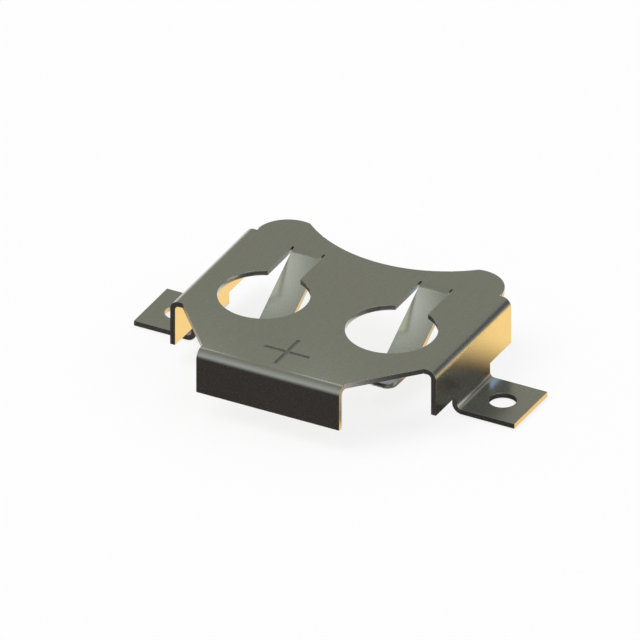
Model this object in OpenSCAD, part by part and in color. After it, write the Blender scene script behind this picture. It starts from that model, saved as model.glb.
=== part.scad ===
// Surface-mount retainer for a coin cell, stamped and folded from one piece of spring sheet.
// The origin lies on the board, midway between the two foot holes. +Z is up, and the cell
// slides in from the rear (+Y) until it meets the front lip (-Y).

/* [Cell] */
// Diameter of the coin cell
cell_d = 20; // [16:0.1:24]
// Play between the cell and each side wall
cell_play = 0.2; // [0.1:0.05:0.5]

/* [Sheet] */
// Thickness of the sheet
sheet_t = 0.4; // [0.25:0.05:0.5]
// Inside radius of the folds between the deck and its flanges
fold_r = 0.3; // [0.15:0.05:0.4]
// Radius of the relief notches where a fold ends
relief_r = 0.25; // [0.2:0.05:0.4]

/* [Deck] */
// Height of the deck's top face above the board
deck_h = 5.08; // [4.6:0.01:6]
// Distance from the foot holes back to the middle of the rear edge
deck_rear = 5.7; // [5.4:0.1:6.2]
// Radius of the hollow in the rear edge
rear_r = 10.4; // [9:0.1:14]
// Distance of each rear lobe's centre from the middle
lobe_x = 7.27; // [6.8:0.01:7.4]
// Distance of the lobe centres behind the foot holes
lobe_y = 5.8; // [5.6:0.1:6.2]
// Radius of the rear lobes
lobe_r = 2.44; // [2:0.01:2.6]

/* [Front lip] */
// Distance from the foot holes to the lip's outer face
lip_y = 11.04; // [10.8:0.01:12]
// Width of the front lip
lip_w = 11.4; // [8:0.1:12]
// Height of the front lip, from the deck's top face down
lip_h = 3.37; // [2.2:0.01:4]
// Distance from the foot holes to where each front corner's cut leaves the lip
corner_y = 10.1; // [9.6:0.1:10.1]
// Angle of the front corners' cuts from the lip
corner_a = 48.4; // [44:0.1:54]

/* [Side walls] */
// Length of each side wall
wall_l = 11.38; // [9:0.01:11.5]
// Height of each side wall, from the deck's top face down
wall_h = 3.61; // [2.6:0.01:3.8]

/* [Feet] */
// Width of each foot
foot_w = 5; // [3.5:0.1:6]
// Reach of each foot beyond its side wall
foot_l = 4.57; // [3.5:0.01:6]
// Inside radius of the fold between a side wall and its foot
foot_fold_r = 0.35; // [0.2:0.05:0.5]
// Radius of the hole in each foot
foot_hole_r = 1; // [0.6:0.05:1.2]
// Distance of each foot hole from the foot's outer edge
foot_hole_in = 2.25; // [1.9:0.05:2.4]

/* [Contact tongues] */
// Distance of each window and its tongue from the middle
window_x = 5.09; // [4.8:0.01:5.3]
// Distance of the window centres in front of the foot holes
window_y = 1.95; // [1.5:0.05:2.2]
// Radius of the round windows
window_r = 3.3; // [2.8:0.1:3.6]
// Width of each contact tongue
tongue_w = 2.3; // [2:0.1:2.8]
// Gap between each side of a tongue and the slot that it is cut from
tongue_gap = 0.15; // [0.05:0.05:0.3]
// Distance from the foot holes back to the root of the tongues
tongue_root = 4.9; // [4.5:0.1:5.3]
// Slope of the tongues
tongue_a = 31.2; // [26:0.1:32]
// Length of the straight part of each tongue
tongue_l = 5.7; // [4.6:0.1:6]
// Inside radius of the fold at the root of each tongue
tongue_fold_r = 0.8; // [0.3:0.1:1.2]
// Inside radius of the curve that brings each tip level
tip_r = 1; // [0.6:0.1:2]
// Angle through which each tip curves up
tip_a = 33; // [33:1:45]
// Length of the straight end of each tip
tip_l = 3; // [2.4:0.1:3.8]
// Radius of the tips' rounded corners
tip_corner_r = 0.8; // [0.3:0.1:1]

/* [Polarity mark] */
// Distance of the plus sign from the foot holes, to the front
mark_y = 8.1; // [7.5:0.1:8.4]
// Length of the plus sign's arms
mark_l = 3.6; // [2:0.1:4]
// Width of the plus sign's strokes
mark_w = 0.3; // [0.2:0.05:0.5]
// Depth of the plus sign
mark_d = 0.08; // [0.03:0.01:0.12]

/* [Hidden] */

$fn = 96;
sheet_c = [0.45, 0.45, 0.40];
// Straight steps that each 90 degrees of a fold is drawn with
fold_steps = 12;
// Overrun of a cut past the faces that it opens
over = 1;

wall_out = cell_d / 2 + cell_play + sheet_t;
// Distance from a flange's outer face back to where its fold starts, and down to where it ends
fold_line = fold_r + sheet_t;
deck_edge = wall_out - fold_line;
deck_z = deck_h - sheet_t;
foot_hole_x = wall_out + foot_l - foot_hole_in;
slot_w = tongue_w + 2 * tongue_gap;
// Each strip starts this far inside the deck
lip_from = lip_y - fold_line - over;
wall_from = deck_edge - relief_r;
// Furthest forward point of the upper side of a tongue, from where its legs end
tongue_run = (tongue_fold_r + sheet_t) * sin(tongue_a) + tongue_l * cos(tongue_a)
    + tip_r * (sin(tongue_a) - sin(tongue_a - tip_a)) + tip_l * cos(tip_a - tongue_a);
tip_end = tongue_root - tongue_run;

// A folded strip is drawn as a walk along its upper side, which starts out level. Each leg is
// [length, turn, radius]: a straight length, then a turn in degrees, down where it is negative and
// up where it is positive, and the fold's inside radius. A station is [point, heading].
function ahead(p, a, d) = [p[0] + d * cos(a), p[1] + d * sin(a)];
function upper_r(leg) = leg[1] < 0 ? leg[2] + sheet_t : leg[2];
function round_turn(at, turn, r) =
    [ahead(at[0], at[1] + turn / 2, 2 * r * sin(abs(turn) / 2)), at[1] + turn];
function leg_stations(at, leg) =
    let (bend = [ahead(at[0], at[1], leg[0]), at[1]], steps = ceil(fold_steps * abs(leg[1]) / 90))
    concat(
        leg[0] > 0 ? [bend] : [],
        [for (i = [1 : 1 : steps]) round_turn(bend, leg[1] * i / steps, upper_r(leg))]
    );
function walk(legs, at, i = 0) =
    i == len(legs) ? [at] :
    let (own = leg_stations(at, legs[i]), last = len(own) - 1)
    concat([at], [for (k = [0 : 1 : last - 1]) own[k]], walk(legs, own[last], i + 1));

// The strip's section: out along its upper side, and back along its lower side
function section(line) = concat(
    [for (s = line) s[0]],
    [for (k = [len(line) - 1 : -1 : 0]) ahead(line[k][0], line[k][1] - 90, sheet_t)]
);

// A folded strip, centred on Y, that starts in the deck at x = from and heads for +X
module strip(legs, width, from) {
    rotate([90, 0, 0])
        linear_extrude(width, center = true)
            polygon(section(walk(legs, [[from, deck_h], 0])));
}

module both_sides() {
    children();
    mirror([1, 0, 0])
        children();
}

// The right-hand window: a round hole, with the slot that its tongue is cut from
module window() {
    translate([window_x, -window_y]) {
        circle(window_r);
        translate([-slot_w / 2, 0])
            square([slot_w, window_y + tongue_root]);
    }
}

// The right-hand half of the deck's outline, short of its rear hollow
module deck_half() {
    polygon([
        [0, fold_line - lip_y],
        [lip_w / 2, fold_line - lip_y],
        [lip_w / 2, -corner_y],
        [lip_w / 2 + (corner_y - wall_l / 2) / tan(corner_a), -wall_l / 2],
        [deck_edge, -wall_l / 2],
        [deck_edge, wall_l / 2],
        [lobe_x + lobe_r, wall_l / 2],
        [lobe_x + lobe_r, lobe_y],
        [lobe_x, lobe_y + lobe_r / 2],
        [0, lobe_y + lobe_r / 2]
    ]);
    translate([lobe_x, lobe_y])
        circle(lobe_r);
}

module deck() {
    translate([0, 0, deck_z])
        linear_extrude(sheet_t)
            difference() {
                both_sides()
                    deck_half();
                translate([0, deck_rear + rear_r])
                    circle(rear_r);
                both_sides() {
                    window();
                    for (end = [-1, 1])
                        translate([deck_edge, end * (wall_l / 2 + relief_r / 2)])
                            circle(relief_r);
                }
            }
}

module front_lip() {
    rotate([0, 0, -90])
        strip([[lip_y - fold_line - lip_from, -90, fold_r], [lip_h - fold_line, 0, 0]], lip_w, lip_from);
}

// A side wall, and the foot that its middle runs down into
module side_wall() {
    down = [deck_edge - wall_from, -90, fold_r];
    strip([down, [wall_h - fold_line, 0, 0]], wall_l, wall_from);
    difference() {
        strip(
            [
                down,
                [deck_h - fold_line - foot_fold_r - sheet_t, 90, foot_fold_r],
                [foot_l - foot_fold_r, 0, 0]
            ],
            foot_w, wall_from
        );
        translate([foot_hole_x, 0, -over])
            cylinder(h = sheet_t + 2 * over, r = foot_hole_r);
    }
}

// A contact tongue: it slopes down and forward from its root, and its round tip turns up
module tongue() {
    intersection() {
        translate([window_x, 0, 0])
            rotate([0, 0, -90])
                strip(
                    [
                        [over, -tongue_a, tongue_fold_r],
                        [tongue_l, tip_a, tip_r],
                        [tip_l, 0, 0]
                    ],
                    tongue_w, -tongue_root - over
                );
        linear_extrude(deck_h) {
            for (side = [-1, 1])
                translate([window_x + side * (tongue_w / 2 - tip_corner_r), tip_end + tip_corner_r])
                    circle(tip_corner_r);
            translate([window_x, (tip_end + tongue_root + over) / 2])
                square([tongue_w - 2 * tip_corner_r, tongue_root + over - tip_end], center = true);
            translate([window_x - tongue_w / 2, tip_end + tip_corner_r])
                square([tongue_w, tongue_root + over - tip_end - tip_corner_r]);
        }
    }
}

module plus_mark() {
    translate([0, -mark_y, deck_h - mark_d])
        linear_extrude(mark_d + over) {
            square([mark_l, mark_w], center = true);
            square([mark_w, mark_l], center = true);
        }
}

module retainer() {
    color(sheet_c)
        difference() {
            union() {
                deck();
                front_lip();
                both_sides() {
                    side_wall();
                    tongue();
                }
            }
            plus_mark();
        }
}

retainer();
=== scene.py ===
"""Looks of a coin cell retainer: one folded, plated spring sheet on a plain studio floor.

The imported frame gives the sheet's shape and place. This script gives its broken edges, its finish,
the floor under it, and the lamps and cards round it. Lengths are in metres.
"""

import logging
import math
from dataclasses import dataclass, field
from enum import Enum

import bmesh
import bpy
from mathutils import Matrix, Vector
from mathutils.bvhtree import BVHTree


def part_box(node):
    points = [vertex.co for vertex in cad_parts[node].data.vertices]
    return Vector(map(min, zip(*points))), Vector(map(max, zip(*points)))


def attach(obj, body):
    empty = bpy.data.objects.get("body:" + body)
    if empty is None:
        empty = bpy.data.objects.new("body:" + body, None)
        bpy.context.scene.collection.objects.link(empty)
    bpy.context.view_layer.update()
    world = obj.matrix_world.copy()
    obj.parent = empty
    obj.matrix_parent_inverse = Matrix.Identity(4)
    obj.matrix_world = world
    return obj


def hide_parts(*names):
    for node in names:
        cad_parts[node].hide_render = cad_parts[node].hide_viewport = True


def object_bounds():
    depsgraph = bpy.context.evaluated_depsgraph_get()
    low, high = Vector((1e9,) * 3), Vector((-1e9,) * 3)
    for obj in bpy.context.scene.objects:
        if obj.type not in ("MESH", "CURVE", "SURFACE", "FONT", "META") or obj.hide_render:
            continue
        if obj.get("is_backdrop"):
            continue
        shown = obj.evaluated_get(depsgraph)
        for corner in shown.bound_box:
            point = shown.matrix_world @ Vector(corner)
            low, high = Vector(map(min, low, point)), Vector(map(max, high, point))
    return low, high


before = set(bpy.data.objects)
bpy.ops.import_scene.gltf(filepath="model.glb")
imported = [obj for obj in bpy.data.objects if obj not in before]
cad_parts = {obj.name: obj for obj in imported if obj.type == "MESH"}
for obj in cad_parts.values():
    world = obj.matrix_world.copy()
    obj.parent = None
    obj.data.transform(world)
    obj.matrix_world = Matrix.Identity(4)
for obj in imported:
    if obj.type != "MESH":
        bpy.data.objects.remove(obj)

LOG = logging.getLogger("retainer_scene")
MM = 0.001

Colour = tuple[float, float, float]
Place = tuple[float, float, float]
Span = tuple[float, float]


class Tone(Enum):
    """Tones of the cards that the plating mirrors, as linear colours."""

    OLIVE = (0.345, 0.35, 0.312)
    SLATE = (0.11, 0.12, 0.155)
    GOLD = (1.85, 1.27, 0.53)
    BRONZE = (0.55, 0.45, 0.34)
    CHARCOAL = (0.065, 0.056, 0.055)
    GREY = (0.27, 0.28, 0.29)
    PALE = (0.46, 0.48, 0.49)
    WHITE = (1.0, 1.05, 1.03)
    GLOW = (1.22, 1.29, 1.27)
    SKY = (1.0, 2.15, 4.4)


class Fade(Enum):
    """Where on a card its glow lies."""

    SHARP = "all over"
    ROUND = "from the middle out"
    ALONG = "from the front edge to short of the rear edge"


def select_only(piece: bpy.types.Object) -> None:
    """Makes one object the only one selected, and the active one.

    Args:
        piece: the object that the next operators work on.
    """
    bpy.ops.object.select_all(action="DESELECT")
    piece.select_set(True)
    bpy.context.view_layer.objects.active = piece


def apply_all_modifiers(piece: bpy.types.Object) -> None:
    """Applies an object's modifiers, first to last.

    Args:
        piece: the object whose modifiers become part of its mesh.
    """
    select_only(piece)
    for modifier in list(piece.modifiers):
        bpy.ops.object.modifier_apply(modifier=modifier.name)


class NodeSheet:
    """A shader or group node tree, with short calls to place and link its nodes."""

    # A Mix node has sockets for every kind of data: these are its factor, its two colours and their mix.
    MIX_INPUTS = (0, 6, 7)
    MIX_RESULT = 2

    def __init__(self, tree: bpy.types.NodeTree) -> None:
        """Takes the tree that it works on.

        Args:
            tree: the tree of a material, a world or a group.
        """
        self.tree = tree

    def add(self, kind: str, **values: object) -> bpy.types.Node:
        """Places a node and sets its properties and unlinked inputs.

        Args:
            kind: the node's type name.
            **values: a property by its name, or an input by its name with spaces as underscores.

        Returns:
            The new node.
        """
        node = self.tree.nodes.new(kind)
        for key, value in values.items():
            if hasattr(node, key):
                setattr(node, key, value)
            else:
                node.inputs[key.replace("_", " ")].default_value = value
        return node

    def link(self, start: bpy.types.NodeSocket, end: bpy.types.NodeSocket) -> None:
        """Links two nodes.

        Args:
            start: the output that the value comes from.
            end: the input that it goes to.
        """
        self.tree.links.new(start, end)

    def maths(self, operation: str, first: object, second: object) -> bpy.types.NodeSocket:
        """Adds a Math node.

        Args:
            operation: the node's operation, such as MULTIPLY.
            first: a socket or a number.
            second: a socket or a number.

        Returns:
            The node's output.
        """
        node = self.add("ShaderNodeMath", operation=operation)
        for socket, value in zip(node.inputs, (first, second)):
            if isinstance(value, bpy.types.NodeSocket):
                self.link(value, socket)
            else:
                socket.default_value = value
        return node.outputs[0]

    def blend(self, mask: object, low: object, high: object) -> bpy.types.NodeSocket:
        """Adds a colour Mix node.

        Args:
            mask: the socket or number that goes from low to high.
            low: the colour, or its socket, where the mask is 0.
            high: the colour, or its socket, where the mask is 1.

        Returns:
            The mixed colour.
        """
        node = self.add("ShaderNodeMix", data_type="RGBA")
        for index, value in zip(self.MIX_INPUTS, (mask, low, high)):
            socket = node.inputs[index]
            if isinstance(value, bpy.types.NodeSocket):
                self.link(value, socket)
            elif isinstance(value, tuple):
                socket.default_value = (*value, 1.0)
            else:
                socket.default_value = value
        return node.outputs[self.MIX_RESULT]

    def face_mask(self, attribute: str) -> bpy.types.NodeSocket:
        """Reads a mask that is stored on the mesh's faces.

        Args:
            attribute: the mask's name.

        Returns:
            A socket that is 1 on the marked faces and 0 elsewhere.
        """
        return self.add("ShaderNodeAttribute", attribute_name=attribute).outputs["Fac"]


class EffectGroup:
    """A shader node group with named inputs and outputs, built once and placed where it is wanted.

    The scales among the inputs are those of noise over lengths in metres.
    """

    name: str = "effect"
    inputs: tuple[tuple[str, str, float], ...] = ()
    outputs: tuple[str, ...] = ()

    def tree(self) -> bpy.types.NodeTree:
        """Builds the group on its first use.

        Returns:
            The group's node tree.
        """
        if self.name in bpy.data.node_groups:
            return bpy.data.node_groups[self.name]
        tree = bpy.data.node_groups.new(self.name, "ShaderNodeTree")
        for label, kind, start in self.inputs:
            socket = tree.interface.new_socket(label, in_out="INPUT", socket_type=kind)
            if kind == "NodeSocketFloat":
                socket.default_value = start
        for label in self.outputs:
            tree.interface.new_socket(label, in_out="OUTPUT", socket_type="NodeSocketFloat")
        sheet = NodeSheet(tree)
        self.wire(sheet, sheet.add("NodeGroupInput"), sheet.add("NodeGroupOutput"))
        return tree

    def wire(self, sheet: NodeSheet, entry: bpy.types.Node, leave: bpy.types.Node) -> None:
        """Fills the group; each effect gives its own.

        Args:
            sheet: the group's nodes.
            entry: the node with the group's inputs.
            leave: the node with the group's outputs.
        """
        raise NotImplementedError

    def place(self, sheet: NodeSheet, vector: bpy.types.NodeSocket, **values: float) -> bpy.types.Node:
        """Puts the group in a material.

        Args:
            sheet: the material's nodes.
            vector: the coordinates that the effect follows.
            **values: the group's number inputs, by name.

        Returns:
            The group's node.
        """
        node = sheet.add("ShaderNodeGroup", node_tree=self.tree())
        sheet.link(vector, node.inputs["Vector"])
        for key, value in values.items():
            node.inputs[key].default_value = value
        return node


class RolledGrain(EffectGroup):
    """Fine lines left along the sheet by the rolls."""

    name = "rolled_grain"
    inputs = (
        ("Vector", "NodeSocketVector", 0.0),
        ("Fineness", "NodeSocketFloat", 9000.0),
        ("Stretch", "NodeSocketFloat", 14.0),
    )
    outputs = ("Height", "Streak")

    def wire(self, sheet: NodeSheet, entry: bpy.types.Node, leave: bpy.types.Node) -> None:
        """Draws the grain as noise that is stretched along Y, with a soft speckle over it."""
        along = sheet.maths("DIVIDE", 1.0, entry.outputs["Stretch"])
        scale = sheet.add("ShaderNodeCombineXYZ", X=1.0, Z=1.0)
        sheet.link(along, scale.inputs["Y"])
        stretch = sheet.add("ShaderNodeVectorMath", operation="MULTIPLY")
        sheet.link(entry.outputs["Vector"], stretch.inputs[0])
        sheet.link(scale.outputs[0], stretch.inputs[1])
        lines = sheet.add("ShaderNodeTexNoise", Detail=3.0, Roughness=0.6)
        sheet.link(stretch.outputs[0], lines.inputs["Vector"])
        sheet.link(entry.outputs["Fineness"], lines.inputs["Scale"])
        speckle = sheet.add("ShaderNodeTexNoise", Detail=2.0, Roughness=0.5)
        sheet.link(entry.outputs["Vector"], speckle.inputs["Vector"])
        sheet.link(entry.outputs["Fineness"], speckle.inputs["Scale"])
        both = sheet.maths("ADD", lines.outputs[0], speckle.outputs[0])
        sheet.link(sheet.maths("MULTIPLY", both, 0.5), leave.inputs["Height"])
        sheet.link(lines.outputs[0], leave.inputs["Streak"])


class HandlingMarks(EffectGroup):
    """Faint cloudy patches and hairline marks from handling."""

    name = "handling_marks"
    inputs = (
        ("Vector", "NodeSocketVector", 0.0),
        ("Patch", "NodeSocketFloat", 320.0),
        ("Hairline", "NodeSocketFloat", 1100.0),
    )
    outputs = ("Cloud", "Line")

    def wire(self, sheet: NodeSheet, entry: bpy.types.Node, leave: bpy.types.Node) -> None:
        """Draws clouds as broad noise, and hairlines as the thin ridges of a warped noise."""
        cloud = sheet.add("ShaderNodeTexNoise", Detail=4.0, Roughness=0.55, Distortion=0.4)
        sheet.link(entry.outputs["Vector"], cloud.inputs["Vector"])
        sheet.link(entry.outputs["Patch"], cloud.inputs["Scale"])
        ridge = sheet.add("ShaderNodeTexNoise", Detail=1.0, Roughness=0.4, Distortion=1.5)
        sheet.link(entry.outputs["Vector"], ridge.inputs["Vector"])
        sheet.link(entry.outputs["Hairline"], ridge.inputs["Scale"])
        off = sheet.maths("ABSOLUTE", sheet.maths("SUBTRACT", ridge.outputs[0], 0.5), 0.0)
        thin = sheet.add("ShaderNodeMapRange", From_Min=0.0, From_Max=0.006, To_Min=1.0, To_Max=0.0)
        sheet.link(off, thin.inputs["Value"])
        sheet.link(cloud.outputs[0], leave.inputs["Cloud"])
        sheet.link(thin.outputs[0], leave.inputs["Line"])


class EdgeWear(EffectGroup):
    """Where a broken edge has been rubbed bright."""

    name = "edge_wear"
    inputs = (
        ("Vector", "NodeSocketVector", 0.0),
        ("Edge", "NodeSocketFloat", 0.0),
        ("Patchiness", "NodeSocketFloat", 1400.0),
    )
    outputs = ("Wear",)

    def wire(self, sheet: NodeSheet, entry: bpy.types.Node, leave: bpy.types.Node) -> None:
        """Breaks the edge mask up with noise, so that the wear comes and goes."""
        noise = sheet.add("ShaderNodeTexNoise", Detail=3.0, Roughness=0.6)
        sheet.link(entry.outputs["Vector"], noise.inputs["Vector"])
        sheet.link(entry.outputs["Patchiness"], noise.inputs["Scale"])
        spread = sheet.add("ShaderNodeMapRange", From_Min=0.35, From_Max=0.65)
        sheet.link(noise.outputs[0], spread.inputs["Value"])
        worn = sheet.maths("MULTIPLY", spread.outputs[0], entry.outputs["Edge"])
        sheet.link(worn, leave.inputs["Wear"])


@dataclass(frozen=True)
class PlatedSheetFinish:
    """Thin dull plating on rolled spring sheet, with rougher cut edges and a rough stamped mark whose
    groove is darkened with painted shade.

    Attributes:
        name: the material's name.
        clouded: the plating's colour where the clouds are thick.
        in_dips: the plating's colour in the dips of the grain.
        on_ridges: the plating's colour on the ridges of the grain.
        cut: the colour of the cut edges.
        stamped: the colour of the stamped mark, darker than the plating as painted shade in its groove.
        worn: the colour where an edge is rubbed.
        rough: the roughness of the plain plating.
        cut_rough: the roughness of the cut edges.
        stamped_rough: the roughness of the stamped mark.
        streak_rough: how much the streaks add to the roughness.
        cloud_rough: how much the clouds add to the roughness.
        line_rough: how much the hairlines add to the roughness.
        cut_grain: how much higher the grain is on the cut edges.
        line_depth: how deep the hairlines are, beside the grain's height.
        relief: the strength of the bumps.
        relief_height: the height of the bumps.
    """

    name: str = "plated_spring_sheet"
    clouded: Colour = (0.49, 0.49, 0.435)
    in_dips: Colour = (0.46, 0.46, 0.405)
    on_ridges: Colour = (0.53, 0.53, 0.475)
    cut: Colour = (0.44, 0.43, 0.40)
    # The stamped mark's colour is darker than the plating: painted shade in the mark's groove.
    stamped: Colour = (0.31, 0.31, 0.285)
    worn: Colour = (0.56, 0.56, 0.52)
    rough: float = 0.19
    cut_rough: float = 0.24
    stamped_rough: float = 0.45
    streak_rough: float = 0.05
    cloud_rough: float = 0.06
    line_rough: float = 0.04
    cut_grain: float = 1.5
    line_depth: float = 0.3
    relief: float = 0.25
    relief_height: float = 0.004 * MM

    def material(self) -> bpy.types.Material:
        """Builds the finish as a node material.

        Returns:
            The material.
        """
        made = bpy.data.materials.new(self.name)
        made.use_nodes = True
        sheet = NodeSheet(made.node_tree)
        shader = made.node_tree.nodes["Principled BSDF"]
        shader.inputs["Metallic"].default_value = 1.0
        place = sheet.add("ShaderNodeTexCoord").outputs["Object"]
        grain = RolledGrain().place(sheet, place)
        marks = HandlingMarks().place(sheet, place)
        wear = EdgeWear().place(sheet, place)
        sheet.link(sheet.face_mask("broken_edge"), wear.inputs["Edge"])
        cut = sheet.face_mask("cut_face")
        stamped = sheet.face_mask("stamped_mark")
        streak = sheet.add("ShaderNodeMapRange", From_Min=0.38, From_Max=0.66)
        sheet.link(grain.outputs["Height"], streak.inputs["Value"])
        rolled = sheet.blend(streak.outputs[0], self.in_dips, self.on_ridges)
        plating = sheet.blend(marks.outputs["Cloud"], rolled, self.clouded)
        with_cut = sheet.blend(cut, plating, self.cut)
        # Paints shade into the stamped mark's groove.
        with_shade_painted_in_mark = sheet.blend(stamped, with_cut, self.stamped)
        sheet.link(sheet.blend(wear.outputs["Wear"], with_shade_painted_in_mark, self.worn), shader.inputs["Base Color"])
        sheet.link(self._roughness(sheet, grain, marks, cut, stamped), shader.inputs["Roughness"])
        sheet.link(self._relief(sheet, grain, marks, cut), shader.inputs["Normal"])
        return made

    def _roughness(
        self,
        sheet: NodeSheet,
        grain: bpy.types.Node,
        marks: bpy.types.Node,
        cut: bpy.types.NodeSocket,
        stamped: bpy.types.NodeSocket,
    ) -> bpy.types.NodeSocket:
        """Adds the streaks, clouds and hairlines, the cut edges and the stamped mark to the roughness.

        Args:
            sheet: the material's nodes.
            grain: the rolled grain.
            marks: the handling marks.
            cut: the mask of the cut edges.
            stamped: the mask of the stamped mark.

        Returns:
            The roughness.
        """
        streaks = sheet.maths("MULTIPLY", grain.outputs["Streak"], self.streak_rough)
        clouds = sheet.maths("MULTIPLY", marks.outputs["Cloud"], self.cloud_rough)
        lines = sheet.maths("MULTIPLY", marks.outputs["Line"], self.line_rough)
        on_edges = sheet.maths("MULTIPLY", cut, self.cut_rough - self.rough)
        in_mark = sheet.maths("MULTIPLY", stamped, self.stamped_rough - self.rough)
        total = self.rough
        for part in (streaks, clouds, lines, on_edges, in_mark):
            total = sheet.maths("ADD", part, total)
        return total

    def _relief(
        self,
        sheet: NodeSheet,
        grain: bpy.types.Node,
        marks: bpy.types.Node,
        cut: bpy.types.NodeSocket,
    ) -> bpy.types.NodeSocket:
        """Raises the grain as bumps, coarser on the cut edges, and sinks the hairlines.

        Args:
            sheet: the material's nodes.
            grain: the rolled grain.
            marks: the handling marks.
            cut: the mask of the cut edges.

        Returns:
            The bumped normal.
        """
        coarser = sheet.maths("ADD", sheet.maths("MULTIPLY", cut, self.cut_grain), 1.0)
        raised = sheet.maths("MULTIPLY", grain.outputs["Height"], coarser)
        sunk = sheet.maths("MULTIPLY", marks.outputs["Line"], self.line_depth)
        bump = sheet.add("ShaderNodeBump", Strength=self.relief, Distance=self.relief_height)
        sheet.link(sheet.maths("SUBTRACT", raised, sunk), bump.inputs["Height"])
        return bump.outputs["Normal"]


@dataclass(frozen=True)
class FloorFinish:
    """A pale matt floor that keeps the object's soft shadow.

    Attributes:
        name: the material's name.
        colour: the paint's colour.
        cloud_shade: how much of that colour is left in the clouds.
        rough: the paint's roughness.
        shown_white: how much of the floor shows as plain white.
    """

    name: str = "pale_floor"
    colour: Colour = (0.86, 0.86, 0.86)
    cloud_shade: float = 0.99
    rough: float = 0.7
    shown_white: float = 0.82

    def material(self) -> bpy.types.Material:
        """Builds the finish: matt paint that mostly shows as plain white.

        Returns:
            The material.
        """
        made = bpy.data.materials.new(self.name)
        made.use_nodes = True
        sheet = NodeSheet(made.node_tree)
        shader = made.node_tree.nodes["Principled BSDF"]
        shader.inputs["Roughness"].default_value = self.rough
        place = sheet.add("ShaderNodeTexCoord").outputs["Object"]
        cloud = sheet.add("ShaderNodeTexNoise", Scale=40.0, Detail=2.0)
        sheet.link(place, cloud.inputs["Vector"])
        darker = tuple(self.cloud_shade * part for part in self.colour)
        sheet.link(sheet.blend(cloud.outputs[0], self.colour, darker), shader.inputs["Base Color"])
        white = sheet.add("ShaderNodeEmission", Color=(1.0, 1.0, 1.0, 1.0), Strength=1.0)
        mix = sheet.add("ShaderNodeMixShader")
        sheet.link(sheet.maths("MULTIPLY", seen_directly(sheet), self.shown_white), mix.inputs[0])
        sheet.link(shader.outputs[0], mix.inputs[1])
        sheet.link(white.outputs[0], mix.inputs[2])
        sheet.link(mix.outputs[0], made.node_tree.nodes["Material Output"].inputs["Surface"])
        return made


@dataclass(frozen=True)
class CardFinish:
    """A card's glow in one tone, all over it or fading out across it.

    Attributes:
        tone: the glow's colour.
        level: the glow's strength.
        fade: where on the card the glow lies.
        round_fade: where a round glow has gone and where it is full, from the middle, in sides of the card.
        along_fade: where a long glow has gone and where it is full, from the front edge, in its length.
    """

    tone: Tone
    level: float = 1.0
    fade: Fade = Fade.SHARP
    round_fade: Span = (0.5, 0.1)
    along_fade: Span = (1.0, 0.6)

    def material(self) -> bpy.types.Material:
        """Builds the card's glow.

        Returns:
            The material.
        """
        made = bpy.data.materials.new(f"card_{self.tone.name.lower()}")
        made.use_nodes = True
        nodes = made.node_tree.nodes
        nodes.remove(nodes["Principled BSDF"])
        sheet = NodeSheet(made.node_tree)
        glow = sheet.add("ShaderNodeEmission", Color=(*self.tone.value, 1.0), Strength=self.level)
        surface = glow.outputs[0]
        if self.fade is not Fade.SHARP:
            mix = sheet.add("ShaderNodeMixShader")
            sheet.link(self._fade_mask(sheet), mix.inputs[0])
            sheet.link(sheet.add("ShaderNodeBsdfTransparent").outputs[0], mix.inputs[1])
            sheet.link(surface, mix.inputs[2])
            surface = mix.outputs[0]
        sheet.link(surface, nodes["Material Output"].inputs["Surface"])
        return made

    def _fade_mask(self, sheet: NodeSheet) -> bpy.types.NodeSocket:
        """Masks where the card glows, by its UV map.

        Args:
            sheet: the card's nodes.

        Returns:
            A socket that is 1 where the card glows fully.
        """
        place = sheet.add("ShaderNodeTexCoord").outputs["UV"]
        if self.fade is Fade.ROUND:
            off = sheet.add("ShaderNodeVectorMath", operation="DISTANCE")
            off.inputs[1].default_value = (0.5, 0.5, 0.0)
            sheet.link(place, off.inputs[0])
            distance = off.outputs["Value"]
            clear, full = self.round_fade
        else:
            parts = sheet.add("ShaderNodeSeparateXYZ")
            sheet.link(place, parts.inputs[0])
            distance = parts.outputs["Y"]
            clear, full = self.along_fade
        near = sheet.add("ShaderNodeMapRange", From_Min=clear, From_Max=full)
        near.interpolation_type = "SMOOTHSTEP"
        sheet.link(distance, near.inputs["Value"])
        return near.outputs[0]


def seen_directly(sheet: NodeSheet) -> bpy.types.NodeSocket:
    """Masks what is seen by the eye, in a mirror or through glass, from what only gives light.

    Args:
        sheet: the nodes of the floor or the world.

    Returns:
        A socket that is 1 for camera, glossy and transmission rays.
    """
    path = sheet.add("ShaderNodeLightPath").outputs
    mirrored = sheet.maths("MAXIMUM", path["Is Glossy Ray"], path["Is Transmission Ray"])
    return sheet.maths("MAXIMUM", path["Is Camera Ray"], mirrored)


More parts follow.
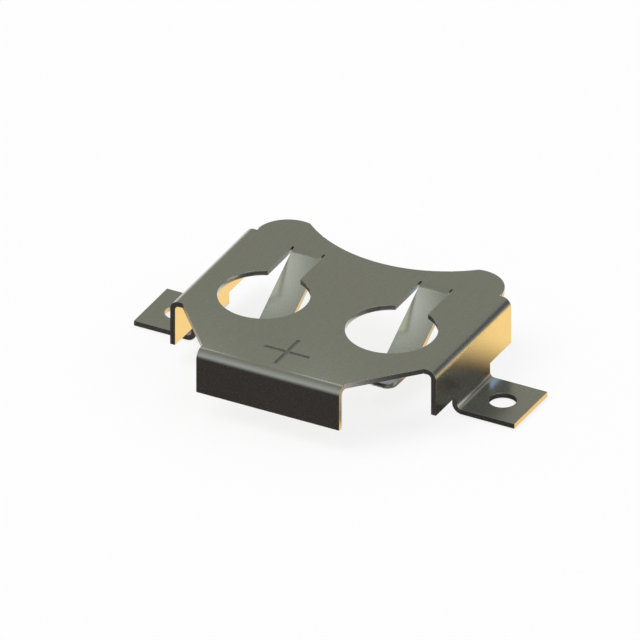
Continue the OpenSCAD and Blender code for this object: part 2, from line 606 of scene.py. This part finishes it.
@dataclass
class Retainer:
    """The folded sheet: deck, front lip, side walls, feet and contact tongues in one piece.

    Attributes:
        node: the CAD node that it dresses.
        name: the dressed sheet's name.
        sheet_thickness: the thickness of the sheet.
        weld: how close two points are that become one.
        flat_within: the angle within which triangles belong to one face.
        edge_break: the width of a broken edge.
        edge_steps: the number of faces across a broken edge.
        sharp_from: the angle from which an edge is cut and not folded.
        probe_start: how far under a face the search for the sheet's other side starts.
        cut_from: the number of thicknesses behind a face that make it a cut edge.
        mark_depth: the least and the greatest depth of the stamped mark's faces.
        mark_from_lip: how far the middle of the mark lies behind the lip's outer face.
        mark_reach: how far the mark's faces reach from its middle.
        flat_lead: how much the large faces lead the shading.
        finish: the sheet's looks.
    """

    node: str = "retainer"
    name: str = "plated_retainer"
    sheet_thickness: float = 0.4 * MM
    weld: float = 0.0005 * MM
    flat_within: float = math.radians(0.4)
    edge_break: float = 0.012 * MM
    edge_steps: int = 2
    sharp_from: float = math.radians(45)
    probe_start: float = 0.001 * MM
    cut_from: float = 1.4
    mark_depth: Span = (0.006 * MM, 0.12 * MM)
    mark_from_lip: float = 2.94 * MM
    mark_reach: float = 2.1 * MM
    flat_lead: int = 80
    finish: PlatedSheetFinish = field(default_factory=PlatedSheetFinish)

    def build(self) -> bpy.types.Object:
        """Makes the sheet with broken edges, in place of the plain node.

        Returns:
            The dressed sheet.
        """
        piece = self._whole_copy()
        self._break_edges(piece)
        self._mark_cut_faces(piece)
        self._find_stamped_mark(piece)
        self._smooth_folds(piece)
        self._dress(piece)
        return piece

    def _whole_copy(self) -> bpy.types.Object:
        """Copies the node and joins its loose triangles into whole faces.

        Returns:
            The copy.
        """
        piece = bpy.data.objects.new(self.name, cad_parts[self.node].data.copy())
        bpy.context.scene.collection.objects.link(piece)
        piece.data.materials.clear()
        select_only(piece)
        bpy.ops.object.mode_set(mode="EDIT")
        bpy.ops.mesh.select_all(action="SELECT")
        bpy.ops.mesh.remove_doubles(threshold=self.weld)
        bpy.ops.mesh.dissolve_limited(angle_limit=self.flat_within)
        bpy.ops.object.mode_set(mode="OBJECT")
        return piece

    def _break_edges(self, piece: bpy.types.Object) -> None:
        """Takes the sharpness off the cut edges, and remembers the narrow faces that this makes.

        Args:
            piece: the copied sheet.
        """
        slots = ("sheet", "edge")
        for slot in slots:
            piece.data.materials.append(bpy.data.materials.new(slot))
        bevel = piece.modifiers.new("broken_edges", "BEVEL")
        bevel.width = self.edge_break
        bevel.segments = self.edge_steps
        bevel.limit_method = "ANGLE"
        bevel.angle_limit = self.sharp_from
        bevel.use_clamp_overlap = False
        bevel.material = slots.index("edge")
        apply_all_modifiers(piece)
        broken = piece.data.attributes.new("broken_edge", "FLOAT", "FACE")
        for face in piece.data.polygons:
            broken.data[face.index].value = float(face.material_index)
            face.material_index = 0
        piece.data.materials.clear()

    def _mark_cut_faces(self, piece: bpy.types.Object) -> None:
        """Marks the cut edges: the faces with far more metal behind them than one thickness.

        Args:
            piece: the sheet with broken edges.
        """
        work = bmesh.new()
        work.from_mesh(piece.data)
        tree = BVHTree.FromBMesh(work)
        inside: dict[int, tuple[float, Vector]] = {}
        for corners in work.calc_loop_triangles():
            points = [corner.vert.co for corner in corners]
            area = (points[1] - points[0]).cross(points[2] - points[0]).length
            face = corners[0].face
            if area > inside.get(face.index, (0.0, None))[0]:
                inside[face.index] = (area, sum(points, Vector()) / 3)
        depths: dict[int, float] = {}
        for face in work.faces:
            centre = inside.get(face.index, (0.0, face.calc_center_median()))[1]
            start = centre - face.normal * self.probe_start
            depths[face.index] = tree.ray_cast(start, -face.normal)[3] or 0.0
        work.free()
        cut = piece.data.attributes.new("cut_face", "FLOAT", "FACE")
        for index, depth in depths.items():
            cut.data[index].value = float(depth > self.cut_from * self.sheet_thickness)

    def _find_stamped_mark(self, piece: bpy.types.Object) -> None:
        """Marks the stamped plus sign, where the finish paints shade: the faces near it that lie just under
        the deck's top.

        Args:
            piece: the sheet with broken edges.
        """
        low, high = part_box(self.node)
        middle = low.y + self.mark_from_lip
        stamped = piece.data.attributes.new("stamped_mark", "FLOAT", "FACE")
        for face in piece.data.polygons:
            depth = high.z - face.center.z
            off = max(abs(face.center.x), abs(face.center.y - middle))
            sunk = off < self.mark_reach and self.mark_depth[0] < depth < self.mark_depth[1]
            stamped.data[face.index].value = float(sunk)

    def _smooth_folds(self, piece: bpy.types.Object) -> None:
        """Shades the folds round while the flats stay flat.

        Args:
            piece: the sheet with broken edges.
        """
        select_only(piece)
        bpy.ops.object.shade_smooth()
        weighted = piece.modifiers.new("flat_faces_lead", "WEIGHTED_NORMAL")
        weighted.mode = "FACE_AREA"
        weighted.weight = self.flat_lead
        apply_all_modifiers(piece)

    def _dress(self, piece: bpy.types.Object) -> None:
        """Gives the sheet its finish, its body and its place in the frame.

        Args:
            piece: the smoothed sheet.
        """
        piece.data.materials.append(self.finish.material())
        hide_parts(self.node)
        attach(piece, "root")


@dataclass
class Card:
    """A flat card that only shows in reflections.

    Attributes:
        name: the card's name.
        centre: the place of its middle.
        size: its width and its height.
        tone: the colour of its glow.
        level: the strength of its glow.
        flat: whether it lies level.
        fade: where on it the glow lies.
    """

    name: str
    centre: Place
    size: Span
    tone: Tone
    level: float = 1.0
    flat: bool = False
    fade: Fade = Fade.SHARP

    def build(self) -> bpy.types.Object:
        """Turns the card to face the middle of the object, or lays it level, and hides it from plain sight.

        Returns:
            The card.
        """
        bpy.ops.object.select_all(action="DESELECT")
        bpy.ops.mesh.primitive_plane_add(size=1.0)
        card = bpy.context.object
        card.name = self.name
        wide = Matrix.Diagonal((*self.size, 1.0, 1.0))
        place = Vector(self.centre)
        turn = Matrix.Identity(4) if self.flat else (-place).to_track_quat("Z", "Y").to_matrix().to_4x4()
        card.data.transform(Matrix.Translation(place) @ turn @ wide)
        card.data.materials.append(CardFinish(self.tone, self.level, self.fade).material())
        card.visible_camera = False
        card.visible_diffuse = False
        card.visible_shadow = False
        card.visible_transmission = False
        card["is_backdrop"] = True
        return card


def towards(azimuth: float, height: float, distance: float) -> Place:
    """Gives a place round the object.

    Args:
        azimuth: degrees round from +Y towards +X.
        height: degrees above the floor.
        distance: how far from the middle of the object.

    Returns:
        The place.
    """
    round_by = math.radians(azimuth)
    up_by = math.radians(height)
    level = math.cos(up_by) * distance
    return (math.sin(round_by) * level, math.cos(round_by) * level, math.sin(up_by) * distance)


def level_card(
    name: str, tone: Tone, height: float, wide: Span, deep: Span, fade: Fade = Fade.SHARP
) -> Card:
    """Lays out a level card from its limits, in millimetres.

    Args:
        name: the card's name.
        tone: its tone.
        height: its height above the board.
        wide: its limits along X.
        deep: its limits along Y.
        fade: where on it the glow lies.

    Returns:
        The card, not yet built.
    """
    centre = (sum(wide) / 2 * MM, sum(deep) / 2 * MM, height * MM)
    size = ((wide[1] - wide[0]) * MM, (deep[1] - deep[0]) * MM)
    return Card(name, centre, size, tone, flat=True, fade=fade)


@dataclass
class Studio:
    """The floor, the white surroundings, the lamps and the cards.

    Attributes:
        floor_size: the length of the floor's sides.
        floor_drop: how far the floor lies under the feet.
        reach: about how far off the standing cards are.
        soft_light: the strength of the surroundings as a light.
        lamp_power: the power of the key lamp, in watts.
        fill_share: the fill lamp's power as a share of the key lamp's.
        floor_finish: the floor's looks.
    """

    floor_size: float = 2.4
    floor_drop: float = 0.08 * MM
    reach: float = 0.16
    soft_light: float = 0.55
    lamp_power: float = 2.6
    fill_share: float = 0.4
    floor_finish: FloorFinish = field(default_factory=FloorFinish)

    def build(self) -> list[bpy.types.Object]:
        """Sets the whole studio.

        Returns:
            The floor and the cards.
        """
        self._surround()
        self._lamp("key", (-0.25, -0.18, 0.62), 0.5, self.lamp_power)
        self._lamp("fill", (0.35, 0.25, 0.5), 0.6, self.fill_share * self.lamp_power)
        cards = self._standing_cards() + self._level_cards()
        return [self._floor()] + [card.build() for card in cards]

    def _floor(self) -> bpy.types.Object:
        """Lays the floor just under the feet.

        Returns:
            The floor.
        """
        bpy.ops.object.select_all(action="DESELECT")
        bpy.ops.mesh.primitive_plane_add(size=self.floor_size, location=(0.0, 0.0, -self.floor_drop))
        floor = bpy.context.object
        floor.name = "floor"
        floor.visible_glossy = False
        floor.data.materials.append(self.floor_finish.material())
        floor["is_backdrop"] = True
        return floor

    def _surround(self) -> None:
        """Makes the world white where it is seen or mirrored, and a soft light elsewhere."""
        world = bpy.data.worlds.new("soft_white")
        bpy.context.scene.world = world
        world.use_nodes = True
        sheet = NodeSheet(world.node_tree)
        back = world.node_tree.nodes["Background"]
        back.inputs["Color"].default_value = (1.0, 1.0, 1.0, 1.0)
        extra = sheet.maths("MULTIPLY", seen_directly(sheet), 1.0 - self.soft_light)
        sheet.link(sheet.maths("ADD", extra, self.soft_light), back.inputs["Strength"])

    def _lamp(self, name: str, place: Place, size: float, power: float) -> None:
        """Hangs a square soft lamp that faces the object.

        Args:
            name: the lamp's name.
            place: where it hangs.
            size: the length of its sides.
            power: its power in watts.
        """
        light = bpy.data.lights.new(name, "AREA")
        light.size = size
        light.energy = power
        lamp = bpy.data.objects.new(name, light)
        lamp.location = place
        lamp.rotation_euler = (-Vector(place)).to_track_quat("-Z", "Y").to_euler()
        lamp.visible_glossy = False
        bpy.context.scene.collection.objects.link(lamp)

    def _standing_cards(self) -> list[Card]:
        """Lists the cards round the object: olive and dark behind, gold low on the right, pale in front.

        Returns:
            The cards, not yet built.
        """
        reach = self.reach
        return [
            Card("card_back", towards(-27, 31, 1.06 * reach), (0.34, 0.125), Tone.OLIVE),
            Card("card_back_high", towards(33, 46, 1.12 * reach), (0.18, 0.12), Tone.OLIVE),
            Card("card_back_right", towards(34, 18, reach), (0.092, 0.086), Tone.SLATE),
            Card("card_right_low", towards(38, -1, 0.88 * reach), (0.19, 0.03), Tone.BRONZE),
            Card("card_right_lowest", towards(38, -13, 0.9 * reach), (0.19, 0.035), Tone.GOLD),
            Card("card_front", towards(-155, 30, reach), (0.30, 0.09), Tone.PALE, 1.25),
            Card("card_front_middle", towards(-155, 8, 0.96 * reach), (0.32, 0.045), Tone.GREY),
            Card("card_front_low", towards(-155, -6, 0.92 * reach), (0.34, 0.034), Tone.CHARCOAL),
        ]

    def _level_cards(self) -> list[Card]:
        """Lists the level cards: high over the object, just over it, far below it and on the floor.

        Returns:
            The cards, not yet built.
        """
        return [
            Card("below_middle", (-0.052, -0.02, -0.1), (0.095, 0.12), Tone.WHITE, 2.0, flat=True),
            level_card("above_back", Tone.OLIVE, 150, (-200, 45), (-45, 175)),
            level_card("above_front", Tone.PALE, 150, (-200, 45), (-220, -45)),
            level_card("glow_left", Tone.GLOW, 18, (-17.2, -9.6), (-3.2, 5.8), Fade.ROUND),
            level_card("glow_right", Tone.GLOW, 18, (-7.0, 0.6), (-3.2, 5.8), Fade.ROUND),
            level_card("below_right", Tone.GOLD, -100, (0, 600), (60, 700)),
            level_card("below_front", Tone.CHARCOAL, -100, (-600, 20), (-1000, -80)),
            level_card("below_front_right", Tone.CHARCOAL, -100, (20, 600), (-1000, 10)),
            level_card("below_left", Tone.CHARCOAL, -100, (-600, -110), (-80, 50)),
            level_card("under_right_foot", Tone.CHARCOAL, -0.03, (10.7, 15.1), (-6.0, 8.5), Fade.ALONG),
            level_card("beyond_right_foot", Tone.OLIVE, -0.03, (16, 45), (-6, 10)),
            level_card("below_back", Tone.SKY, -100, (-120, -30), (100, 200)),
            level_card("under_left_gap", Tone.WHITE, -0.03, (-11.5, -8.3), (9.5, 13.5)),
            level_card("under_right_gap", Tone.WHITE, -0.03, (-1.0, 1.9), (9.5, 13.5)),
            level_card("under_right_tip", Tone.GREY, -0.03, (6.0, 9.2), (-7.5, 0.2)),
            level_card("under_left_slot", Tone.WHITE, -0.03, (-6.3, -1.0), (6.0, 12.5)),
            level_card("under_left_window", Tone.WHITE, -0.03, (-6.3, -3.3), (2.5, 6.0)),
            level_card("under_right_slot", Tone.WHITE, -0.03, (3.0, 9.2), (6.0, 12.5)),
            level_card("under_right_window", Tone.WHITE, -0.03, (3.0, 6.8), (2.5, 6.0)),
        ]


@dataclass
class StudioCamera:
    """A parallel camera that looks down on the front right of the object.

    Attributes:
        azimuth: degrees round from the front towards the right.
        elevation: degrees above the floor.
        width: the width of the view.
        ahead_of_middle: how far in front of the foot holes it is aimed, at the height of the deck's top.
        across: how far the aim is moved to the view's right.
        up: how far the aim is moved to the view's top.
        distance: how far it stands from its aim.
    """

    azimuth: float = 27.83
    elevation: float = 30.98
    width: float = 45.13 * MM
    ahead_of_middle: float = 1.95 * MM
    across: float = -0.549 * MM
    up: float = -0.572 * MM
    distance: float = 0.4

    def build(self) -> bpy.types.Object:
        """Sets the camera and makes it the scene's.

        Returns:
            The camera.
        """
        turn = math.radians(self.azimuth)
        tilt = math.radians(self.elevation)
        back = Vector((math.sin(turn) * math.cos(tilt), -math.cos(turn) * math.cos(tilt), math.sin(tilt)))
        right = Vector((math.cos(turn), math.sin(turn), 0.0))
        above = back.cross(right)
        deck_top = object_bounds()[1].z
        aim = Vector((0.0, -self.ahead_of_middle, deck_top)) + right * self.across + above * self.up
        lens = bpy.data.cameras.new("camera")
        lens.type = "ORTHO"
        lens.ortho_scale = self.width
        camera = bpy.data.objects.new("camera", lens)
        camera.location = aim + back * self.distance
        camera.rotation_euler = back.to_track_quat("Z", "Y").to_euler()
        bpy.context.scene.collection.objects.link(camera)
        bpy.context.scene.camera = camera
        return camera


def main() -> None:
    """Dresses the retainer, sets the studio and logs what it has set."""
    logging.basicConfig(level=logging.INFO, format="%(message)s")
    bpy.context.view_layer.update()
    scene = bpy.context.scene
    scene.view_settings.view_transform = "Standard"
    camera = StudioCamera().build()
    LOG.info("%s set", camera.name)
    piece = Retainer().build()
    LOG.info("%s: %d faces", piece.name, len(piece.data.polygons))
    for stage in Studio().build():
        LOG.info("%s set", stage.name)


if __name__ == "__main__":
    main()
